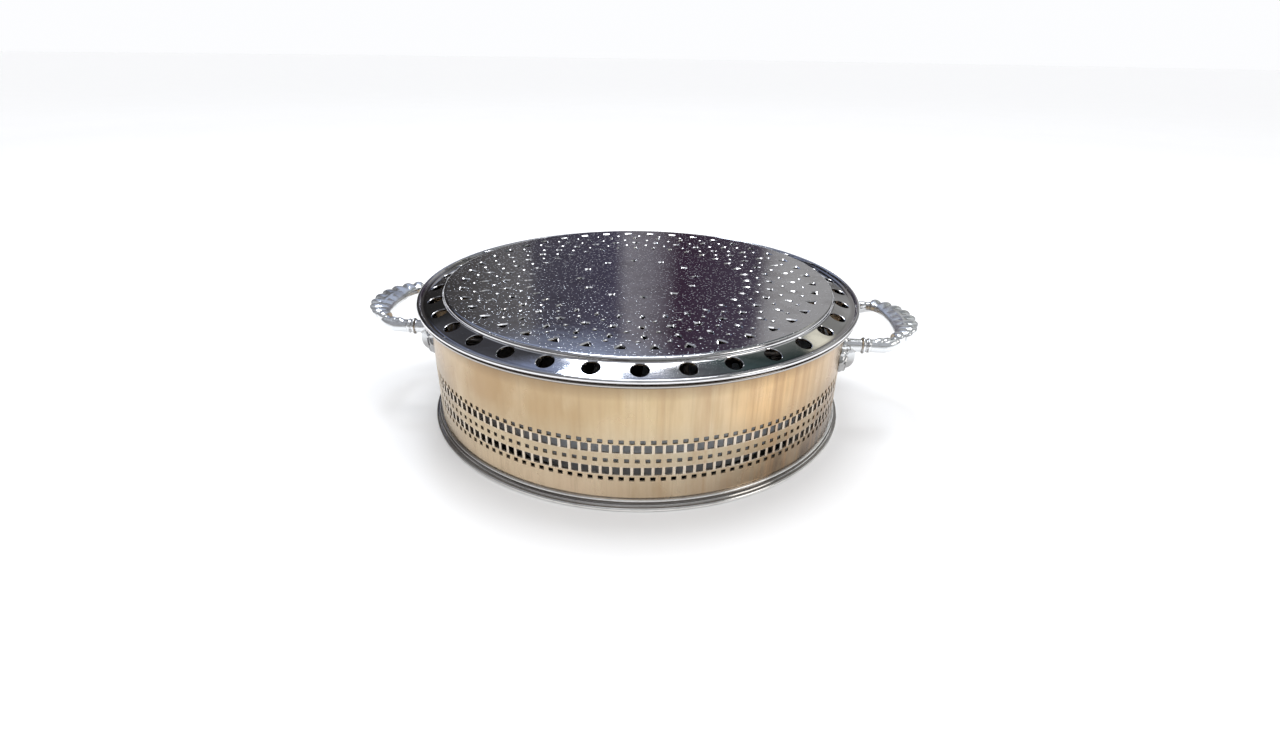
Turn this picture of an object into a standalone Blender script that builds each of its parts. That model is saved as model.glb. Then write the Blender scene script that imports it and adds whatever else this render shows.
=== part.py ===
"""Table hibachi grill: a round pierced drum with a lift-off pierced lid.

The drum stands on a stepped foot ring and carries two cast loop handles.  A fire bowl hangs
on three lugs inside it, with a slotted charcoal grate in the bowl, a cooking grid on the
bowl's flange and a vented lid on the drum's rim.

Units are metres, +Z is up, the origin is the middle of the foot on the table, and the two
handles lie along X.
"""
import math

import bmesh
import bpy
from mathutils import Matrix, Vector

MM = 0.001
GAP = 0.3 * MM                     # left between pieces that touch

# Drum
LID_RADIUS = 150.0 * MM
WALL_RADIUS = 142.5 * MM
SHEET = 1.2 * MM                   # thickness of the sheet metal
FOOT_HEIGHT = 6.0 * MM
FOOT_RADIUS = 147.0 * MM
WALL_BOTTOM = FOOT_HEIGHT + GAP
WALL_TOP = 78.5 * MM
RIM_TOP = 81.2 * MM
RIM_RADIUS = 148.9 * MM
RIM_THROAT = 138.8 * MM            # inner radius of the rim

# Pierced gallery in the wall
GALLERY_COLUMNS = 153
GALLERY_START = math.radians(-85.4)
WINDOW_WIDTH = 4.05 * MM
WINDOW_ROWS = ((22.0 * MM, 26.9 * MM), (36.2 * MM, 41.1 * MM))

# Lid
LID_SEAT = RIM_TOP + GAP
LID_TOP = 89.0 * MM
LID_FLAT_RADIUS = 132.6 * MM       # where the flat top steps down to the shoulder
VENT_COUNT = 34
VENT_RADIUS = 4.9 * MM
VENT_CIRCLE = 137.9 * MM
VENT_START = math.radians(-85.1)
SHOULDER_SLOPE = math.radians(16.9)
TAB_COUNT = 4

# Handles
ARM_RADIUS = 4.3 * MM
ARM_SPREAD = 36.0 * MM             # from the handle's middle to each arm
ARM_HEIGHT = 60.0 * MM
BOW_REACH = 184.5 * MM
BOW_START = 165.0 * MM
BOW_RISE = 5.0 * MM
FLUTE_COUNT = 7
PAD_HEIGHT = 54.0 * MM             # height of the pads' middle and of the screws
SCREW_RADIUS = 1.5 * MM

# Fire bowl, grate and cooking grid
BOWL_FLOOR = 7.6 * MM
BOWL_FLANGE = 57.2 * MM
BOWL_FLANGE_RADIUS = 134.0 * MM
LUG_COUNT = 3
LUG_WIDTH = 16.0 * MM
GRATE_RADIUS = 116.0 * MM
GRATE_BOTTOM = 27.4 * MM
GRATE_SHEET = 1.6 * MM
SLOT_PITCH = 16.0 * MM
LEG_CIRCLE = 100.0 * MM
GRID_RADIUS = 129.0 * MM
GRID_RING_WIRE = 2.0 * MM
GRID_ROD_WIRE = 1.5 * MM
GRID_PITCH = 18.0 * MM

SILVER = ((0.78, 0.77, 0.75), 0.16, 1.0)
WARM_SILVER = ((0.72, 0.60, 0.45), 0.25, 1.0)
STEEL = ((0.42, 0.43, 0.44), 0.42, 1.0)
IRON = ((0.09, 0.09, 0.095), 0.65, 0.8)
BRASS = ((0.62, 0.50, 0.28), 0.35, 1.0)


def clear_scene():
    for obj in list(bpy.data.objects):
        bpy.data.objects.remove(obj, do_unlink=True)


def new_collection(name):
    collection = bpy.data.collections.new(name)
    bpy.context.scene.collection.children.link(collection)
    return collection


def make_material(name, look):
    colour, roughness, metallic = look
    material = bpy.data.materials.new(name)
    material.use_nodes = True
    shader = material.node_tree.nodes["Principled BSDF"]
    shader.inputs["Base Color"].default_value = (*colour, 1.0)
    shader.inputs["Roughness"].default_value = roughness
    shader.inputs["Metallic"].default_value = metallic
    return material


def add_object(name, data, collection):
    obj = bpy.data.objects.new(name, data)
    collection.objects.link(obj)
    return obj


def finish_piece(obj, look, smooth_degrees=30.0):
    """Give a sub-part its own material and shade its round faces smooth."""
    obj.data.materials.append(make_material(obj.name + "_finish", look))
    obj.data.shade_smooth()
    obj.data.set_sharp_from_angle(angle=math.radians(smooth_degrees))
    return obj


def mark_cutter(obj):
    obj.hide_render = True
    obj.display_type = "WIRE"
    return obj


def cut(obj, cutter):
    add_boolean(obj, cutter, "DIFFERENCE")


def join(obj, cutter):
    add_boolean(obj, cutter, "UNION")


def add_boolean(obj, other, operation):
    modifier = obj.modifiers.new(operation.title(), "BOOLEAN")
    modifier.operation = operation
    modifier.solver = "EXACT"
    modifier.object = other


def radial_matrix(radius, angle, height):
    """Put a local +X that points straight out at this radius, angle and height."""
    return Matrix.Rotation(angle, 4, "Z") @ Matrix.Translation((radius, 0.0, height))


def turned(name, profile, steps, collection, closed=True, turn=0.0):
    """Turn a profile of (radius, height) points about Z.

    A closed profile makes a ring.  An open one starts and ends on the axis.
    """
    mesh = bpy.data.meshes.new(name)
    verts = [(radius, 0.0, height) for radius, height in profile]
    edges = [(i, i + 1) for i in range(len(verts) - 1)]
    if closed:
        edges.append((len(verts) - 1, 0))
    mesh.from_pydata(verts, edges, [])
    obj = add_object(name, mesh, collection)
    obj.rotation_euler.z = turn
    screw = obj.modifiers.new("Turn", "SCREW")
    screw.axis = "Z"
    screw.angle = math.tau
    screw.steps = steps
    screw.render_steps = steps
    screw.use_merge_vertices = True
    screw.merge_threshold = 0.00001
    return obj


def box_mesh(name, boxes):
    """Make one mesh from boxes given as (size, matrix)."""
    mesh = bpy.data.meshes.new(name)
    bm = bmesh.new()
    for size, matrix in boxes:
        stretch = Matrix.Diagonal((*size, 1.0))
        bmesh.ops.create_cube(bm, size=1.0, matrix=matrix @ stretch)
    bm.to_mesh(mesh)
    bm.free()
    return mesh


def rod_mesh(name, rods, segments):
    """Make one mesh from cylinders given as (radius, length, matrix), each along its local Z."""
    mesh = bpy.data.meshes.new(name)
    bm = bmesh.new()
    for radius, length, matrix in rods:
        bmesh.ops.create_cone(bm, cap_ends=True, segments=segments, radius1=radius,
                              radius2=radius, depth=length, matrix=matrix)
    bm.to_mesh(mesh)
    bm.free()
    return mesh


def egg_mesh(name, size, matrix, segments=8, rings=5):
    """Make an ellipsoid with these half sizes."""
    mesh = bpy.data.meshes.new(name)
    bm = bmesh.new()
    bmesh.ops.create_uvsphere(bm, u_segments=segments, v_segments=rings, radius=1.0,
                              matrix=matrix @ Matrix.Diagonal((*size, 1.0)))
    bm.to_mesh(mesh)
    bm.free()
    return mesh


def tube_mesh(name, points, radius, collection):
    """Make a closed round bar along points as a welded mesh object."""
    curve = bpy.data.curves.new(name, "CURVE")
    curve.dimensions = "3D"
    curve.bevel_depth = radius
    curve.bevel_resolution = 2
    curve.use_fill_caps = True
    spline = curve.splines.new("POLY")
    spline.points.add(len(points) - 1)
    for point, place in zip(spline.points, points):
        point.co = (*place, 1.0)
    guide = add_object(name + "_guide", curve, collection)
    depsgraph = bpy.context.evaluated_depsgraph_get()
    mesh = bpy.data.meshes.new_from_object(guide.evaluated_get(depsgraph))
    matrix = guide.matrix_world.copy()
    bpy.data.objects.remove(guide, do_unlink=True)
    bm = bmesh.new()
    bm.from_mesh(mesh)
    bmesh.ops.remove_doubles(bm, verts=bm.verts, dist=0.00001)
    bm.to_mesh(mesh)
    bm.free()
    obj = add_object(name, mesh, collection)
    obj.matrix_world = matrix
    return obj


def across_radius():
    """Turn a cylinder's local Z onto the radial direction."""
    return Matrix.Rotation(math.pi / 2, 4, "Y")


def screw_angles():
    """Angles of the four handle pads round the drum, right handle first."""
    lean = math.asin(ARM_SPREAD / WALL_RADIUS)
    return (-lean, lean, math.pi - lean, math.pi + lean)


def make_drum_wall(parts, cutters):
    facet = math.tau / GALLERY_COLUMNS
    inner = WALL_RADIUS - SHEET
    profile = ((inner, WALL_TOP), (WALL_RADIUS, WALL_TOP),
               (WALL_RADIUS, WALL_BOTTOM), (inner, WALL_BOTTOM))
    wall = turned("drum_wall", profile, GALLERY_COLUMNS, parts,
                  turn=GALLERY_START - facet / 2)
    windows = []
    for low, high in WINDOW_ROWS:
        size = (6.0 * MM, WINDOW_WIDTH, high - low)
        for column in range(GALLERY_COLUMNS):
            angle = GALLERY_START + column * facet
            windows.append((size, radial_matrix(WALL_RADIUS, angle, (low + high) / 2)))
    window_cutter = add_object("gallery_cutter", box_mesh("gallery_cutter", windows), cutters)
    cut(wall, mark_cutter(window_cutter))
    holes = [(SCREW_RADIUS + 0.4 * MM, 8.0 * MM,
              radial_matrix(WALL_RADIUS, angle, PAD_HEIGHT) @ across_radius())
             for angle in screw_angles()]
    hole_cutter = add_object("wall_hole_cutter", rod_mesh("wall_hole_cutter", holes, 12), cutters)
    cut(wall, mark_cutter(hole_cutter))
    finish_piece(wall, WARM_SILVER)


def make_drum_rim(parts):
    profile = ((RIM_THROAT, RIM_TOP), (147.4 * MM, RIM_TOP), (148.5 * MM, 80.8 * MM),
               (RIM_RADIUS, 80.0 * MM), (148.5 * MM, 79.2 * MM), (147.4 * MM, WALL_TOP + GAP),
               (141.0 * MM, WALL_TOP + GAP), (RIM_THROAT, 79.9 * MM))
    finish_piece(turned("drum_rim", profile, 60, parts), SILVER)


def make_foot_ring(parts):
    profile = ((141.0 * MM, FOOT_HEIGHT), (143.6 * MM, FOOT_HEIGHT), (144.2 * MM, 5.2 * MM),
               (143.2 * MM, 4.2 * MM), (144.2 * MM, 2.4 * MM), (146.4 * MM, 2.2 * MM),
               (FOOT_RADIUS, 1.2 * MM), (146.4 * MM, 0.0), (138.6 * MM, 0.0),
               (138.6 * MM, 2.6 * MM), (141.0 * MM, 2.6 * MM))
    finish_piece(turned("foot_ring", profile, 60, parts), SILVER)


def make_base_plate(parts):
    """A disc on the foot ring's ledge, with a sunk middle that stiffens it."""
    ledge = 4.1 * MM
    middle = 2.6 * MM
    profile = ((0.0, middle), (122.0 * MM, middle), (126.0 * MM, ledge),
               (140.6 * MM, ledge), (140.6 * MM, ledge - SHEET), (126.6 * MM, ledge - SHEET),
               (122.6 * MM, middle - SHEET), (0.0, middle - SHEET))
    finish_piece(turned("base_plate", profile, 48, parts, closed=False), STEEL)


def bow_path(side):
    """Centre line of a handle, from one pad round the bow to the other."""
    points = []
    for x in (140.0 * MM, 148.0 * MM, 157.0 * MM):
        points.append((x, -ARM_SPREAD, ARM_HEIGHT))
    for step in range(13):
        angle = math.pi * (step / 12 - 0.5)
        lift = BOW_RISE * math.cos(angle)
        points.append((BOW_START + (BOW_REACH - BOW_START) * math.cos(angle),
                       ARM_SPREAD * math.sin(angle), ARM_HEIGHT + lift))
    for x in (157.0 * MM, 148.0 * MM, 140.0 * MM):
        points.append((x, ARM_SPREAD, ARM_HEIGHT))
    return [(side * x, side * y, z) for x, y, z in points]


def make_handle(name, side, parts, cutters, wall_core):
    """A cast loop with a fluted shell on its bow and a leaf pad at each end."""
    handle = tube_mesh(name, bow_path(side), ARM_RADIUS, parts)
    turn = Matrix.Rotation(0.0 if side > 0 else math.pi, 4, "Z")
    for index in range(FLUTE_COUNT):
        fan = math.radians(58.0) * (2 * index / (FLUTE_COUNT - 1) - 1)
        place = Vector((BOW_START + 20.4 * MM * math.cos(fan), 27.0 * MM * math.sin(fan),
                        ARM_HEIGHT + BOW_RISE + 1.2 * MM))
        matrix = turn @ Matrix.Translation(place) @ Matrix.Rotation(fan, 4, "Z")
        flute = add_object(f"{name}_flute_{index + 1}",
                           egg_mesh(f"{name}_flute_{index + 1}", (9.4 * MM, 5.6 * MM, 4.6 * MM),
                                    matrix), cutters)
        join(handle, mark_cutter(flute))
    lean = math.asin(ARM_SPREAD / WALL_RADIUS)
    for number, angle in enumerate((-lean, lean), start=1):
        matrix = turn @ radial_matrix(WALL_RADIUS, angle, PAD_HEIGHT)
        pad_name = f"{name}_pad_{number}"
        pad = add_object(pad_name, egg_mesh(pad_name, (7.0 * MM, 9.0 * MM, 13.0 * MM),
                                            matrix, 12, 8), cutters)
        join(handle, mark_cutter(pad))
    cut(handle, wall_core)
    holes = [(SCREW_RADIUS + GAP, 2 * 3.2 * MM,
              turn @ radial_matrix(WALL_RADIUS, angle, PAD_HEIGHT) @ across_radius())
             for angle in (-lean, lean)]
    hole_cutter = add_object(name + "_hole_cutter",
                             rod_mesh(name + "_hole_cutter", holes, 10), cutters)
    cut(handle, mark_cutter(hole_cutter))
    finish_piece(handle, SILVER, 40.0)


def make_handles(parts, cutters):
    core_profile = ((0.0, 100.0 * MM), (WALL_RADIUS + GAP + 0.05 * MM, 100.0 * MM),
                    (WALL_RADIUS + GAP + 0.05 * MM, 0.0), (0.0, 0.0))
    wall_core = mark_cutter(turned("wall_core_cutter", core_profile, 128, cutters, closed=False))
    make_handle("handle_right", 1, parts, cutters, wall_core)
    make_handle("handle_left", -1, parts, cutters, wall_core)


def make_handle_screws(parts):
    """Round-head screws that reach through the wall into the pads."""
    head = 4.0 * MM
    inner = WALL_RADIUS - SHEET
    tip = WALL_RADIUS + 2.6 * MM
    for number, angle in enumerate(screw_angles(), start=1):
        seat = inner - GAP - 0.1 * MM
        profile = ((0.0, tip), (SCREW_RADIUS, tip), (SCREW_RADIUS, seat), (head, seat),
                   (0.8 * head, seat - 1.4 * MM), (0.0, seat - 1.8 * MM))
        screw = turned(f"handle_screw_{number}", profile, 12, parts, closed=False)
        screw.matrix_world = Matrix.Rotation(angle, 4, "Z") \
            @ Matrix.Translation((0.0, 0.0, PAD_HEIGHT)) @ across_radius()
        finish_piece(screw, BRASS)


def make_bowl_lugs(parts):
    """L-shaped brackets soldered inside the wall: the fire bowl's flange rests on them."""
    shelf_top = BOWL_FLANGE - SHEET - GAP
    foot = 46.5 * MM
    leaf = 1.5 * MM
    outer = 140.5 * MM
    outline = ((outer, foot), (outer, shelf_top), (128.5 * MM, shelf_top),
               (128.5 * MM, shelf_top - leaf), (outer - leaf, shelf_top - leaf),
               (outer - leaf, foot))
    for number in range(1, LUG_COUNT + 1):
        name = f"bowl_lug_{number}"
        curve = bpy.data.curves.new(name, "CURVE")
        curve.dimensions = "2D"
        curve.fill_mode = "BOTH"
        curve.extrude = LUG_WIDTH / 2
        spline = curve.splines.new("POLY")
        spline.points.add(len(outline) - 1)
        for point, (radius, height) in zip(spline.points, outline):
            point.co = (radius, height, 0.0, 1.0)
        spline.use_cyclic_u = True
        lug = add_object(name, curve, parts)
        angle = math.pi / 2 + (number - 1) * math.tau / LUG_COUNT
        lug.matrix_world = Matrix.Rotation(angle, 4, "Z") @ Matrix.Rotation(math.pi / 2, 4, "X")
        curve.materials.append(make_material(name + "_finish", STEEL))


def make_fire_bowl(parts, cutters):
    """A deep pan hung by its flange, with rings of air holes in its floor."""
    corner = 2.0 * MM
    profile = ((0.0, BOWL_FLOOR + SHEET), (121.4 * MM, BOWL_FLOOR + SHEET),
               (122.7 * MM, BOWL_FLOOR + SHEET + 1.3 * MM), (126.4 * MM, BOWL_FLANGE),
               (BOWL_FLANGE_RADIUS, BOWL_FLANGE), (BOWL_FLANGE_RADIUS, BOWL_FLANGE - SHEET),
               (127.6 * MM, BOWL_FLANGE - SHEET), (123.9 * MM, BOWL_FLOOR + corner),
               (123.9 * MM - corner, BOWL_FLOOR), (0.0, BOWL_FLOOR))
    bowl = turned("fire_bowl", profile, 48, parts, closed=False)
    holes = []
    for circle, count in ((72.0 * MM, 12), (36.0 * MM, 6)):
        holes += [(4.0 * MM, 8.0 * MM, radial_matrix(circle, math.tau * index / count, BOWL_FLOOR))
                  for index in range(count)]
    cutter = add_object("air_hole_cutter", rod_mesh("air_hole_cutter", holes, 10), cutters)
    cut(bowl, mark_cutter(cutter))
    finish_piece(bowl, STEEL)


def leg_angles():
    """The legs stand on the solid lanes between the grate's slots."""
    side = math.acos(5 * SLOT_PITCH / LEG_CIRCLE)
    return [side, math.pi - side, -math.pi / 2]


def make_charcoal_grate(parts, cutters):
    """A slotted disc that holds the charcoal off the bowl's floor."""
    mesh = rod_mesh("charcoal_grate", [(GRATE_RADIUS, GRATE_SHEET, Matrix.Translation(
        (0.0, 0.0, GRATE_BOTTOM + GRATE_SHEET / 2)))], 48)
    grate = add_object("charcoal_grate", mesh, parts)
    slots = []
    for index in range(-6, 6):
        x = (index + 0.5) * SLOT_PITCH
        half = math.sqrt((GRATE_RADIUS - 10.0 * MM) ** 2 - x ** 2)
        rib = 3.5 * MM
        for side in (-1, 1):
            middle = side * (half + rib) / 2
            slots.append(((6.0 * MM, half - rib, 6.0 * MM),
                          Matrix.Translation((x, middle, GRATE_BOTTOM))))
    slot_cutter = add_object("grate_slot_cutter", box_mesh("grate_slot_cutter", slots), cutters)
    cut(grate, mark_cutter(slot_cutter))
    holes = [(1.5 * MM + GAP, 8.0 * MM, radial_matrix(LEG_CIRCLE, angle, GRATE_BOTTOM))
             for angle in leg_angles()]
    hole_cutter = add_object("grate_hole_cutter", rod_mesh("grate_hole_cutter", holes, 10),
                             cutters)
    cut(grate, mark_cutter(hole_cutter))
    finish_piece(grate, IRON)


def make_grate_legs(parts):
    """Turned feet riveted through the grate."""
    floor = BOWL_FLOOR + SHEET + GAP
    head = GRATE_BOTTOM + GRATE_SHEET + GAP
    profile = ((0.0, head + 1.2 * MM), (2.6 * MM, head + 0.8 * MM), (2.8 * MM, head),
               (1.5 * MM, head), (1.5 * MM, GRATE_BOTTOM - GAP), (3.4 * MM, GRATE_BOTTOM - GAP),
               (3.4 * MM, floor), (0.0, floor))
    for number, angle in enumerate(leg_angles(), start=1):
        leg = turned(f"grate_leg_{number}", profile, 10, parts, closed=False)
        leg.location = (LEG_CIRCLE * math.cos(angle), LEG_CIRCLE * math.sin(angle), 0.0)
        finish_piece(leg, IRON)


def make_cooking_grid(parts, cutters):
    """A wire ring with welded parallel rods, resting on the bowl's flange."""
    height = BOWL_FLANGE + GAP + GRID_RING_WIRE
    ring_profile = [(GRID_RADIUS + GRID_RING_WIRE * math.cos(angle),
                     height + GRID_RING_WIRE * math.sin(angle))
                    for angle in (-math.tau * index / 6 for index in range(6))]
    grid = turned("cooking_grid", ring_profile, 40, parts)
    along_y = Matrix.Rotation(math.pi / 2, 4, "X")
    rods = []
    for index in range(-6, 7):
        x = index * GRID_PITCH
        half = math.sqrt(GRID_RADIUS ** 2 - x ** 2)
        rods.append((GRID_ROD_WIRE, 2 * half, Matrix.Translation((x, 0.0, height)) @ along_y))
    rod_cutter = add_object("grid_rods", rod_mesh("grid_rods", rods, 6), cutters)
    join(grid, mark_cutter(rod_cutter))
    braces = []
    for y in (-60.0 * MM, 60.0 * MM):
        half = math.sqrt(GRID_RADIUS ** 2 - y ** 2)
        braces.append((GRID_ROD_WIRE, 2 * half, Matrix.Translation((0.0, y, height + 1.7 * MM))
                       @ across_radius()))
    brace_cutter = add_object("grid_braces", rod_mesh("grid_braces", braces, 6), cutters)
    join(grid, mark_cutter(brace_cutter))
    finish_piece(grid, STEEL)


def shoulder_height(radius):
    """Height of the lid's sloping shoulder, measured on its upper face."""
    return 86.1 * MM - (radius - LID_FLAT_RADIUS) * math.tan(SHOULDER_SLOPE)


def make_lid_plate(parts, cutters):
    toe = 145.4 * MM
    profile = ((0.0, LID_TOP), (130.6 * MM, LID_TOP), (132.2 * MM, 88.2 * MM),
               (LID_FLAT_RADIUS, shoulder_height(LID_FLAT_RADIUS)), (toe, shoulder_height(toe)),
               (147.6 * MM, 84.2 * MM), (148.8 * MM, 84.5 * MM), (LID_RADIUS, 83.1 * MM),
               (149.2 * MM, LID_SEAT), (144.4 * MM, LID_SEAT), (131.6 * MM, 85.2 * MM),
               (130.0 * MM, LID_TOP - SHEET), (0.0, LID_TOP - SHEET))
    steps = 2 * VENT_COUNT
    lid = turned("lid_plate", profile, steps, parts, closed=False,
                 turn=VENT_START - math.pi / steps)
    tilt = Matrix.Rotation(SHOULDER_SLOPE, 4, "Y")
    vents = [(VENT_RADIUS, 8.0 * MM,
              radial_matrix(VENT_CIRCLE, VENT_START + index * math.tau / VENT_COUNT,
                            shoulder_height(VENT_CIRCLE)) @ tilt)
             for index in range(VENT_COUNT)]
    cutter = add_object("vent_cutter", rod_mesh("vent_cutter", vents, 12), cutters)
    cut(lid, mark_cutter(cutter))
    finish_piece(lid, SILVER)


def make_lid_tabs(parts):
    """Small plates under the shoulder, between vents, that centre the lid in the rim."""
    pitch = math.tau / VENT_COUNT
    size = (1.2 * MM, 8.0 * MM, 8.6 * MM)
    for number in range(1, TAB_COUNT + 1):
        slot = round((number - 0.5) * VENT_COUNT / TAB_COUNT) + 0.5
        matrix = radial_matrix(137.5 * MM, VENT_START + slot * pitch, 78.7 * MM)
        name = f"lid_tab_{number}"
        tab = add_object(name, box_mesh(name, [(size, Matrix.Identity(4))]), parts)
        tab.matrix_world = matrix
        bevel = tab.modifiers.new("Edges", "BEVEL")
        bevel.width = 0.25 * MM
        bevel.segments = 1
        finish_piece(tab, SILVER)


def build():
    clear_scene()
    parts = new_collection("hibachi_grill")
    cutters = new_collection("hibachi_grill_cutters")
    make_drum_wall(parts, cutters)
    make_drum_rim(parts)
    make_foot_ring(parts)
    make_base_plate(parts)
    make_handles(parts, cutters)
    make_handle_screws(parts)
    make_bowl_lugs(parts)
    make_fire_bowl(parts, cutters)
    make_charcoal_grate(parts, cutters)
    make_grate_legs(parts)
    make_cooking_grid(parts, cutters)
    make_lid_plate(parts, cutters)
    make_lid_tabs(parts)


build()
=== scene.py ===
"""Looks for the table hibachi grill: silver-plated drum, pierced lid, cast handles.

Every piece is in metres in the row frame: +Z up, the handles along X, the origin in the
middle of the foot.  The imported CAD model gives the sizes, and this script adds the fine
surfaces and the finishes.
"""
from math import acos, asin, atan2, copysign, cos, hypot, pi, radians, sin, sqrt, tan, tau

import bmesh
import bpy
import numpy as np
from mathutils import Matrix, Vector


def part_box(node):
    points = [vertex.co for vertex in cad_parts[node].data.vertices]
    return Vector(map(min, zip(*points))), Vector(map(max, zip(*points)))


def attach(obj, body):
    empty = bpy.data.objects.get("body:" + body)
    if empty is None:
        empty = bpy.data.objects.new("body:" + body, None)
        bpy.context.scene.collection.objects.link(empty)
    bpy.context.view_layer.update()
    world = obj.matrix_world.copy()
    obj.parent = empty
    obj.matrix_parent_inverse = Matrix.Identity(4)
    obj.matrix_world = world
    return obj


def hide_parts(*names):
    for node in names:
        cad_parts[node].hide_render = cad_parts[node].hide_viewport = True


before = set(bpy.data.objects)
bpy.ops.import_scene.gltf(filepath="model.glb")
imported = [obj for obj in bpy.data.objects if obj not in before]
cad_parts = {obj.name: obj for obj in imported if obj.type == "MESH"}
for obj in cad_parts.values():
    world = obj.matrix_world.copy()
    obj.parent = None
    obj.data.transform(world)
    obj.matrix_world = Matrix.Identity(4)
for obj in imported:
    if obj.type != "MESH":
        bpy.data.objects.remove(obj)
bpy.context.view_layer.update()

MM = 0.001

# Sizes read from the frame
WALL_LOW, WALL_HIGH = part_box("drum_wall")
RIM_LOW, RIM_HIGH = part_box("drum_rim")
FOOT_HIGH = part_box("foot_ring")[1]
LID_LOW, LID_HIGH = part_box("lid_plate")
BOWL_LOW, BOWL_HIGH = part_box("fire_bowl")
GRATE_LOW, GRATE_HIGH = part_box("charcoal_grate")
GRID_LOW, GRID_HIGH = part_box("cooking_grid")
HANDLE_LOW, HANDLE_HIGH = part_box("handle_right")
WALL_RADIUS = WALL_HIGH.x
RIM_RADIUS = RIM_HIGH.x
FOOT_RADIUS = FOOT_HIGH.x
LID_RADIUS = LID_HIGH.y
SHEET = 1.2 * MM
GAP = 0.3 * MM

# Pierced gallery: upright windows, and squares above, between and below them
GALLERY_COLUMNS = 153
GALLERY_START = radians(-85.4)
WINDOW_HALF = 2.02 * MM
LOW_WINDOWS = (22 * MM, 26.9 * MM)
HIGH_WINDOWS = (36.2 * MM, 41.1 * MM)
MIDDLE_SQUARES = (30.1 * MM, 32.4 * MM)
LOW_SQUARES = (18.1 * MM, 20.5 * MM)
HIGH_SQUARES = (42 * MM, 44.4 * MM)
SQUARE_HALF = 1.3 * MM
STAGGERED_HALF = 1.4 * MM

# Lid
VENT_COUNT = 34
VENT_RADIUS = 5 * MM
VENT_CIRCLE = 137.9 * MM
VENT_START = radians(-85.1)
SHOULDER_SLOPE = radians(16.9)
LID_FLAT_RADIUS = 132.6 * MM
LID_STEPS = 8 * VENT_COUNT
DOT_SIDES = 12

# Handles
ARM_SPREAD = 36 * MM
ARM_HEIGHT = 60 * MM
BOW_START = 165 * MM
BOW_REACH = 184.5 * MM
BOW_RISE = 5 * MM
PAD_HEIGHT = 54 * MM
SHELL_FLUTES = 9
SHELL_SECTION = 36
SHELL_HOLE = (11.2 * MM, 27 * MM)
SHELL_EDGE = (27.6 * MM, 36.4 * MM)

# Charcoal grate and cooking grid
SLOT_PITCH = 16 * MM
SLOT_HALF = 3 * MM
LEG_CIRCLE = 100 * MM
WIRE_RADIUS = 2 * MM
ROD_RADIUS = 1.5 * MM
ROD_PITCH = 18 * MM
BRACE_LINE = 60 * MM

# Tones of the room that the silver reflects, by bearing in degrees from +Y towards +X
ROOM_RADIUS = 2.5
ROOM_WALLS = ((-180, (0.1, 0.09, 0.08)), (-130, (0.22, 0.21, 0.21)), (-90, (0.05, 0.045, 0.05)),
              (-42, (0.02, 0.02, 0.02)), (-30, (0.022, 0.02, 0.02)),
              (-22, (0.08, 0.076, 0.076)), (-16.8, (0.13, 0.125, 0.13)),
              (-15.5, (0.062, 0.058, 0.076)), (-7, (0.056, 0.05, 0.08)),
              (-6.2, (0.21, 0.2, 0.225)), (-1.8, (0.14, 0.127, 0.15)),
              (-0.8, (0.036, 0.018, 0.036)), (8.6, (0.062, 0.05, 0.075)),
              (10.2, (0.33, 0.325, 0.33)), (29, (0.36, 0.36, 0.355)), (32, (0.22, 0.22, 0.21)),
              (44, (0.12, 0.12, 0.12)), (70, (0.45, 0.45, 0.44)), (100, (0.06, 0.06, 0.06)),
              (140, (0.24, 0.24, 0.23)))
ROOM_CEILING = ((-180, (0.5, 0.52, 0.56)), (-120, (0.1, 0.1, 0.11)), (-80, (0.4, 0.42, 0.46)),
                (-50, (0.05, 0.05, 0.06)), (-42.5, (0.045, 0.045, 0.05)),
                (-41, (0.09, 0.09, 0.1)), (-38, (0.22, 0.26, 0.39)), (-8, (0.32, 0.37, 0.5)),
                (6, (0.34, 0.36, 0.42)), (13, (0.16, 0.17, 0.18)), (22, (0.075, 0.08, 0.09)),
                (30, (0.05, 0.075, 0.077)), (33.5, (0.02, 0.032, 0.03)),
                (40, (0.2, 0.21, 0.2)), (60, (0.55, 0.56, 0.56)), (100, (0.12, 0.12, 0.12)),
                (140, (0.35, 0.36, 0.38)))

# Painted reflection of a warm tan tabletop in the wall, with painted shade at its lower right, from
# its left to its right, at three heights
WALL_REFLECTION_AND_SHADE = (
    (12 * MM, ((-1, (0.55, 0.44, 0.31)), (-0.6, (0.78, 0.62, 0.43)), (-0.15, (0.74, 0.58, 0.41)),
               (0.1, (0.6, 0.47, 0.32)), (0.36, (0.52, 0.41, 0.29)), (0.56, (0.19, 0.13, 0.08)),
               (0.8, (0.15, 0.11, 0.08)), (1, (0.26, 0.22, 0.18)))),
    (33 * MM, ((-1, (0.4, 0.31, 0.21)), (-0.6, (0.53, 0.43, 0.29)), (-0.15, (0.52, 0.43, 0.3)),
               (0.1, (0.5, 0.42, 0.3)), (0.36, (0.52, 0.45, 0.33)), (0.56, (0.4, 0.31, 0.2)),
               (0.8, (0.35, 0.27, 0.18)), (1, (0.22, 0.16, 0.11)))),
    (56 * MM, ((-1, (0.34, 0.24, 0.14)), (-0.7, (0.46, 0.33, 0.2)), (-0.45, (0.43, 0.3, 0.17)),
               (-0.15, (0.5, 0.37, 0.22)), (0.1, (0.58, 0.44, 0.26)), (0.34, (0.62, 0.49, 0.32)),
               (0.57, (0.72, 0.48, 0.25)), (0.8, (0.55, 0.39, 0.23)), (1, (0.48, 0.36, 0.21)))))


# ---- geometry helpers

def new_piece(name, bm):
    mesh = bpy.data.meshes.new(name)
    bm.normal_update()
    bm.to_mesh(mesh)
    bm.free()
    obj = bpy.data.objects.new(name, mesh)
    bpy.context.scene.collection.objects.link(obj)
    return obj


def arc(radius, height, bend, start, end, count):
    """Points of (radius, height) on an arc, with angles in degrees from straight outwards."""
    angles = [radians(start + (end - start) * i / count) for i in range(count + 1)]
    return [(radius + bend * cos(a), height + bend * sin(a)) for a in angles]


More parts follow.
